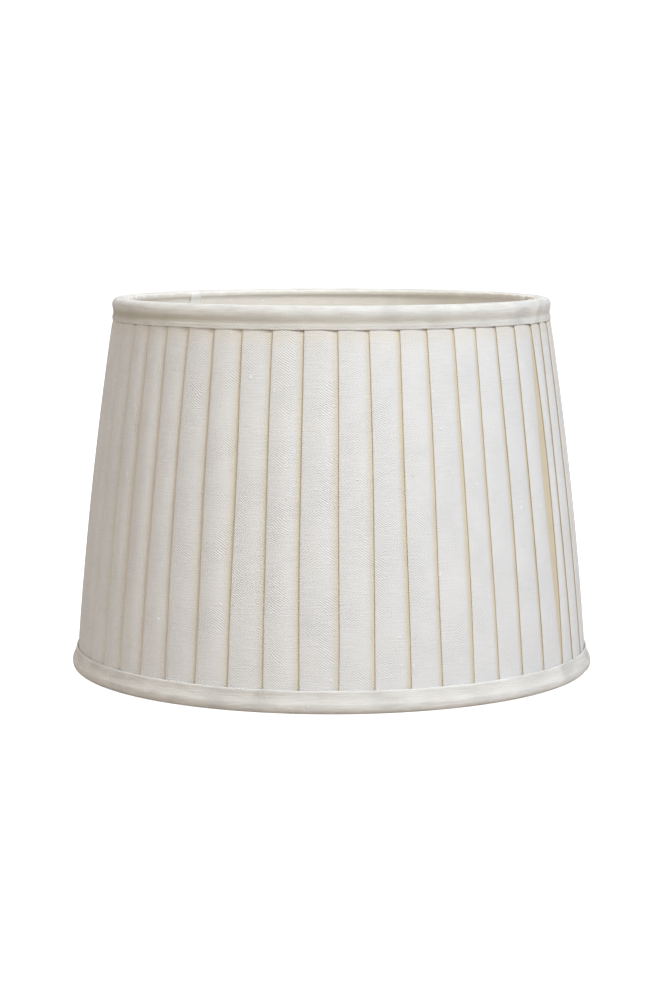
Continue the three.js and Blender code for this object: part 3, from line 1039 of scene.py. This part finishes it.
class SHADE_OT_tape_windings(bpy.types.Operator):
    """Winds cotton tape round the rings and round the strut that carries the lining's seam"""

    bl_idname = "shade.tape_windings"
    bl_label = "Tape windings"

    def execute(self, context):
        settings, lining = context.scene.shade_wire, context.scene.shade_lining
        material = cloth_material(
            "cotton_tape_weave", lining.strip_colour, relief=0.5, twill_groove_shade=0.4, Pitch=0.7 * MM, Band=0.7 * MM, Lean=1.0
        )
        strut = strut_path(angle_of("seam_strut_tape"), *(corner.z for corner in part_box("seam_strut_tape")))
        for node, on, wire, (line, frames), closed in (
            ("top_ring_tape", "top_ring", WIRE, wire_ring_path(TOP_RADIUS, TOP_RING_Z), True),
            ("bottom_ring_tape", "bottom_ring", WIRE, wire_ring_path(BOTTOM_RADIUS, BOTTOM_RING_Z), True),
            ("seam_strut_tape", "strut_6", STRUT_WIRE, strut, False),
        ):
            obj, flat = winding(node + "_winding", line, frames, wire, settings, closed)
            finish_piece(obj, material, [node])
        return {"FINISHED"}


# ---- the wire frame and the fitter ----


def coated_wire_material(name, colour):
    """Steel under a thick white coating: slightly uneven, with soft highlights."""
    material, n, shader = new_material(name, {"Coat Weight": 0.25, "Coat Roughness": 0.3})
    grain = bpy.data.node_groups["powder_coating"]
    spot = n.add("ShaderNodeTexCoord").outputs["Object"]
    coat = n.add("ShaderNodeGroup", {"Place": spot}, node_tree=grain).outputs
    n.feed(shader["Base Color"], n.mix(coat["Tone"], tone(colour, 0.94, 0.01), tone(colour, 1.03)))
    n.feed(shader["Roughness"], n.spread(coat["Tone"], 0.0, 1.0, 0.38, 0.52))
    n.feed(shader["Normal"], n.bump(coat["Height"], 0.25, 0.1 * MM))
    return material


def coating_group():
    """The slow ripple and fine grain of a powder coating."""
    n, given, out = new_group("powder_coating", {"Place": "Vector"}, ["Height", "Tone"])
    ripple, grain = n.noise(given["Place"], 420.0), n.noise(given["Place"], 2600.0, 1.0)
    n.feed(out["Height"], n.math("MULTIPLY_ADD", grain, 0.3, ripple))
    n.feed(out["Tone"], n.spread(n.noise(given["Place"], 90.0, 3.0), 0.3, 0.7))


class SHADE_OT_wire_finish(bpy.types.Operator):
    """Gives the rings and the struts their white coating"""

    bl_idname = "shade.wire_finish"
    bl_label = "Wire finish"

    def execute(self, context):
        material = coated_wire_material("coated_wire_finish", context.scene.shade_wire.wire_colour)
        for name in ("top_ring", "bottom_ring", *STRUTS):
            obj = bpy.data.objects[name]
            obj.data.materials.clear()
            obj.data.materials.append(material)
        return {"FINISHED"}


def lies_on_rim(edge):
    """Whether an edge of the fitter ring goes round it, flat."""
    one, other = (vertex.co for vertex in edge.verts)
    return max(abs(one.z - other.z), abs(one.xy.length - other.xy.length)) < 0.01 * MM


def washer(hole):
    """The fitter's flat ring: a disc, its hole cut through and both its rims rounded."""
    radius, thickness = FITTER_HIGH.x, FITTER_HIGH.z - FITTER_LOW.z
    obj = cylinder("fitter_washer", 128, radius, thickness, location=(0, 0, ARM_Z))
    pick(obj, "FACE", lambda face: len(face.verts) > 4)
    bpy.ops.mesh.inset(thickness=radius - hole / 2, depth=0)
    bpy.ops.mesh.bridge_edge_loops()
    pick(obj, "EDGE", lies_on_rim)
    bpy.ops.mesh.bevel(offset=0.35 * MM, segments=3, affect="EDGES")
    bpy.ops.mesh.select_all(action="SELECT")
    bpy.ops.mesh.normals_make_consistent(inside=False)
    bpy.ops.object.mode_set(mode="OBJECT")
    bpy.ops.object.shade_smooth_by_angle(angle=math.radians(40))
    return obj


def arm_ends():
    """How far from the axis an arm starts and ends."""
    return FITTER_HIGH.x + CLEARANCE, frame_radius(ARM_Z) - STRUT_WIRE / 2 - CLEARANCE


def arm(number):
    """One arm: a wire with rounded ends, from the fitter ring out to its strut."""
    heading = Vector(place(angle_of(f"fitter_arm_{number}"), 1.0, 0.0).tolist())
    start, end = arm_ends()
    wire = cylinder(
        f"fitter_arm_wire_{number}", 32, ARM_WIRE / 2, end - start,
        location=heading * ((start + end) / 2) + Vector((0, 0, ARM_Z)),
        rotation=heading.to_track_quat("Z", "Y").to_euler(),
    )
    round_ends(wire, 0.4 * MM, 3)
    bpy.ops.object.shade_smooth_by_angle(angle=math.radians(40))
    return wire


def weld_beads():
    """The beads of weld at both ends of the arms."""
    bpy.ops.object.select_all(action="DESELECT")
    bpy.ops.mesh.primitive_uv_sphere_add(segments=24, ring_count=12, radius=1.9 * MM)
    bead = bpy.context.object
    pick(bead, "FACE", lambda face: True)
    bpy.ops.transform.resize(value=(0.48, 1.2, 1.0))
    bpy.ops.object.mode_set(mode="OBJECT")
    smooth(bead)
    start, end = arm_ends()
    radii = (start - CLEARANCE / 2, end + CLEARANCE / 2)
    spots = [(angle, place(angle, radius, ARM_Z)) for angle in map(angle_of, ARMS) for radius in radii]
    return join_copies("fitter_weld_beads", bead, [frame_at(angle, spot, (0, 0, 1)) for angle, spot in spots])


class SHADE_OT_fitter(bpy.types.Operator):
    """Models the ring that takes the lampholder and its three arms"""

    bl_idname = "shade.fitter"
    bl_label = "Fitter"

    def execute(self, context):
        material = coated_wire_material("fitter_finish", context.scene.shade_wire.wire_colour)
        finish_piece(washer(context.scene.shade_wire.fitter_hole), material, ["fitter_ring"])
        for number in range(1, len(ARMS) + 1):
            finish_piece(arm(number), material, [f"fitter_arm_{number}"])
        finish_piece(weld_beads(), material)
        return {"FINISHED"}


# ---- floor, lights and camera ----


def area_light(name, size, energy, colour, place_at, look_at):
    data = bpy.data.lights.new(name, "AREA")
    data.shape = "DISK"
    data.size = size
    data.energy = energy
    data.color = colour
    light = bpy.data.objects.new(name, data)
    bpy.context.scene.collection.objects.link(light)
    light.location = place_at
    light.rotation_mode = "QUATERNION"
    light.rotation_quaternion = (Vector(look_at) - Vector(place_at)).to_track_quat("-Z", "Y")


def bright_to_camera(tree, strength, open_below=False):
    """Adds a white glow that only the camera sees, so that it lights nothing.

    With open_below, the surface is seen through from its back.
    """
    n = Nodes(tree)
    target = next(node for node in tree.nodes if node.type.startswith("OUTPUT")).inputs["Surface"]
    seen = n.add("ShaderNodeLightPath").outputs["Is Camera Ray"]
    glow = n.add("ShaderNodeEmission", {"Color": (1, 1, 1, 1), "Strength": n.times(seen, strength)})
    shader = n.add("ShaderNodeAddShader", {0: target.links[0].from_socket, 1: glow.outputs[0]}).outputs[0]
    if open_below:
        below = n.add("ShaderNodeNewGeometry").outputs["Backfacing"]
        clear = n.add("ShaderNodeBsdfTransparent").outputs[0]
        shader = n.add("ShaderNodeMixShader", {0: below, 1: shader, 2: clear}).outputs[0]
    n.feed(target, shader)


def sweep():
    """A floor that curves up behind into a wall, without a corner."""
    bend, back, wide, tall = 2.0, 4.0, 9.0, 5.0
    turn = np.linspace(0, math.pi / 2, 25)
    line = [(-6.0, 0.0), *zip(back + bend * np.sin(turn), bend * (1 - np.cos(turn))), (back + bend, tall)]
    points = np.array([[(x, y, z) for y, z in line] for x in (-wide, wide)])
    floor = lattice("floor", points, points[..., :2])
    smooth(floor)
    return floor


class SHADE_OT_stage(bpy.types.Operator):
    """Sets the floor, the lights and the camera"""

    bl_idname = "shade.stage"
    bl_label = "Floor, lights and camera"

    def execute(self, context):
        stage = context.scene.shade_stage
        floor = sweep()
        paper = plain_material("floor_paper", stage.floor_colour, 0.9)
        bright_to_camera(paper.node_tree, FLOOR_GLOW, open_below=True)
        floor.data.materials.append(paper)
        world = bpy.data.worlds.new("studio")
        context.scene.world = world
        world.use_nodes = True
        background = world.node_tree.nodes["Background"]
        background.inputs["Color"].default_value = (0.95, 0.91, 1.0, 1)
        background.inputs["Strength"].default_value = 0.36
        bright_to_camera(world.node_tree, WORLD_GLOW)
        for light in LIGHTS:
            area_light(*light, (0, 0, HEIGHT / 2))
        camera = bpy.data.cameras.new("camera")
        camera.lens = stage.lens
        camera.sensor_width = 36
        camera.shift_x = 0.001
        camera.clip_start, camera.clip_end = 0.01, 50
        eye = bpy.data.objects.new("camera", camera)
        context.scene.collection.objects.link(eye)
        eye.location = (0, -stage.camera_distance, stage.camera_height)
        eye.rotation_euler = (math.pi / 2 - stage.camera_tilt, 0, 0)
        context.scene.camera = eye
        context.scene.view_settings.view_transform = "Standard"
        return {"FINISHED"}


# ---- panel ----


class SHADE_PT_pieces(bpy.types.Panel):
    """Lists the pieces and their sizes"""

    bl_label = "Pleated lampshade"
    bl_idname = "SHADE_PT_pieces"
    bl_space_type = "VIEW_3D"
    bl_region_type = "UI"
    bl_category = "Lampshade"

    def draw(self, context):
        for group in SETTINGS:
            settings = getattr(context.scene, group)
            for name in settings.bl_rna.properties.keys():
                if name not in ("rna_type", "name"):
                    self.layout.prop(settings, name)
        for operator in OPERATORS:
            self.layout.operator(operator.bl_idname)


SETTINGS = {
    "shade_cover": ShadeCoverSettings,
    "shade_binding": ShadeBindingSettings,
    "shade_lining": ShadeLiningSettings,
    "shade_wire": ShadeWireSettings,
    "shade_stage": ShadeStageSettings,
}
OPERATORS = (
    SHADE_OT_wire_finish,
    SHADE_OT_fitter,
    SHADE_OT_tape_windings,
    SHADE_OT_lining,
    SHADE_OT_stitches,
    SHADE_OT_neatening_strips,
    SHADE_OT_pleated_cover,
    SHADE_OT_bindings,
    SHADE_OT_stage,
)


def register():
    for kind in (*SETTINGS.values(), *OPERATORS, SHADE_PT_pieces):
        bpy.utils.register_class(kind)
    for name, kind in SETTINGS.items():
        setattr(bpy.types.Scene, name, bpy.props.PointerProperty(type=kind))


def unregister():
    for name in SETTINGS:
        delattr(bpy.types.Scene, name)
    for kind in (SHADE_PT_pieces, *reversed(OPERATORS), *SETTINGS.values()):
        bpy.utils.unregister_class(kind)


def main():
    register()
    weave_group()
    coating_group()
    for operator in OPERATORS:
        group, name = operator.bl_idname.split(".")
        getattr(getattr(bpy.ops, group), name)()


if __name__ == "__main__":
    main()
